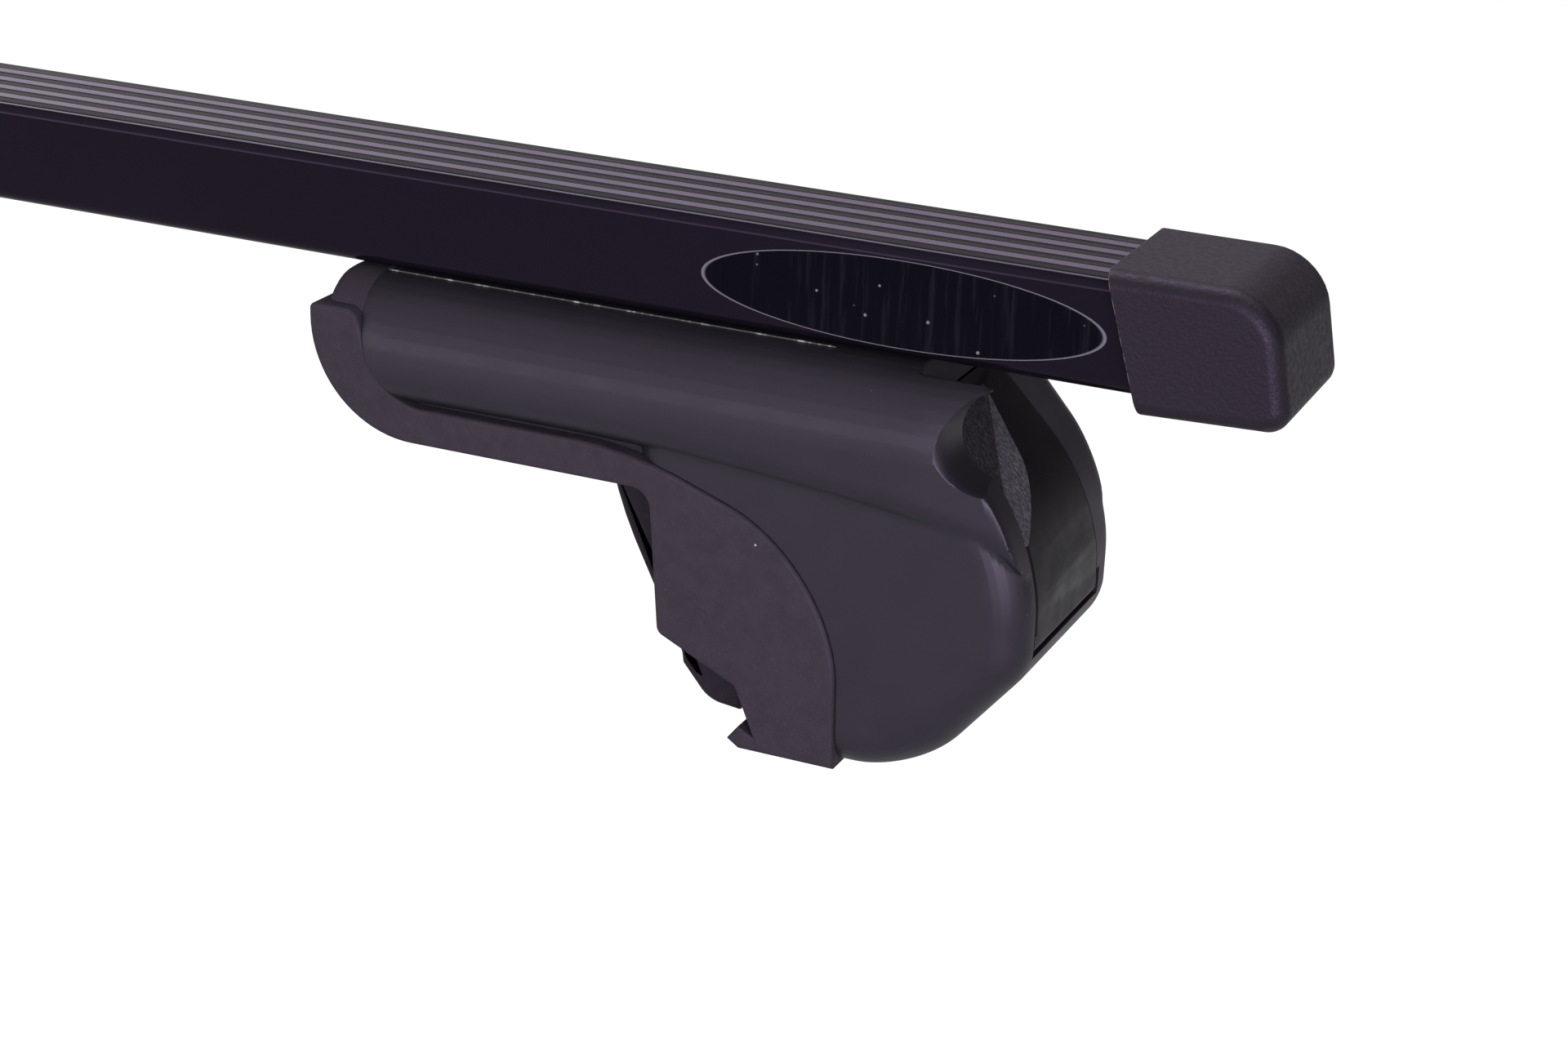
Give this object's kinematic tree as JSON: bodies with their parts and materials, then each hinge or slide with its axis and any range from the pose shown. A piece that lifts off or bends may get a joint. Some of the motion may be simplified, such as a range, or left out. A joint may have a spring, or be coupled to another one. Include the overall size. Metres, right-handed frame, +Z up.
{
  "type": "roof rack fit kit",
  "caption": "Ribbed square-section roof bar with end caps, on feet for raised rails, each with a screw-driven clamp jaw behind a hinged end cover.",
  "frame": {"origin": "on the ground plane below the middle of the bar", "axes": "+X along the bar towards the right foot, +Y across the bar, away from the side where the right foot has its finger notch, +Z up"},
  "size_m": [1.1984, 0.054, 0.1],
  "materials": {
    "shell_plastic": "satin black glass-filled plastic",
    "boot_rubber": "fine-grained dark rubber",
    "jaw_rubber": "plain black rubber",
    "cover_plastic": "half-gloss black",
    "cap_plastic": "fine-grained black",
    "bar_coating": "gloss black coating on steel",
    "spring_steel": "plain",
    "zinc_steel": "zinc plated"
  },
  "bodies": {
    "bar_and_feet": {"roof_bar": "bar_coating", "end_cap_right": "cap_plastic", "end_cap_left": "cap_plastic", "foot_shell_right": "shell_plastic", "rail_boot_right": "boot_rubber", "cover_hinge_pin_right": "spring_steel", "screw_nut_right": "zinc_steel", "bar_bracket_right": "zinc_steel", "nut_plate_right": "zinc_steel", "bar_bolt_inner_right": "zinc_steel", "bar_washer_inner_right": "zinc_steel", "bar_bolt_outer_right": "zinc_steel", "bar_washer_outer_right": "zinc_steel", "foot_shell_left": "shell_plastic", "rail_boot_left": "boot_rubber", "cover_hinge_pin_left": "spring_steel", "screw_nut_left": "zinc_steel", "bar_bracket_left": "zinc_steel", "nut_plate_left": "zinc_steel", "bar_bolt_inner_left": "zinc_steel", "bar_washer_inner_left": "zinc_steel", "bar_bolt_outer_left": "zinc_steel", "bar_washer_outer_left": "zinc_steel"},
    "cover_right": {"end_cover_right": "cover_plastic"},
    "jaw_right": {"clamp_jaw_right": "jaw_rubber", "jaw_clip_right": "spring_steel"},
    "screw_right": {"clamp_screw_right": "zinc_steel"},
    "cover_left": {"end_cover_left": "cover_plastic"},
    "jaw_left": {"clamp_jaw_left": "jaw_rubber", "jaw_clip_left": "spring_steel"},
    "screw_left": {"clamp_screw_left": "zinc_steel"}
  },
  "joints": [
    {"name": "cover_hinge_right", "type": "hinge", "parent": "bar_and_feet", "child": "cover_right", "pos_m": [0.5553, 0, 0.03], "axis": [0, 1, 0], "range_deg": [0, 75]},
    {"name": "cover_hinge_left", "type": "hinge", "parent": "bar_and_feet", "child": "cover_left", "pos_m": [-0.5553, 0, 0.03], "axis": [0, -1, 0], "range_deg": [0, 75]},
    {"name": "jaw_slide_right", "type": "slide", "parent": "bar_and_feet", "child": "jaw_right", "axis": [-1, 0, 0], "range_m": [0, 0.01]},
    {"name": "jaw_slide_left", "type": "slide", "parent": "bar_and_feet", "child": "jaw_left", "axis": [1, 0, 0], "range_m": [0, 0.01]},
    {"name": "screw_turn_right", "type": "hinge", "parent": "jaw_right", "child": "screw_right", "pos_m": [0.508, 0, 0.04], "axis": [-1, 0, 0], "range_deg": [0, 2880]},
    {"name": "screw_turn_left", "type": "hinge", "parent": "jaw_left", "child": "screw_left", "pos_m": [-0.508, 0, 0.04], "axis": [1, 0, 0], "range_deg": [0, 2880]}
  ],
  "couplings": [
    {"joint": "screw_turn_right", "follows": "jaw_slide_right", "rad_per_m": 5026.5},
    {"joint": "screw_turn_left", "follows": "jaw_slide_left", "rad_per_m": 5026.5}
  ]
}
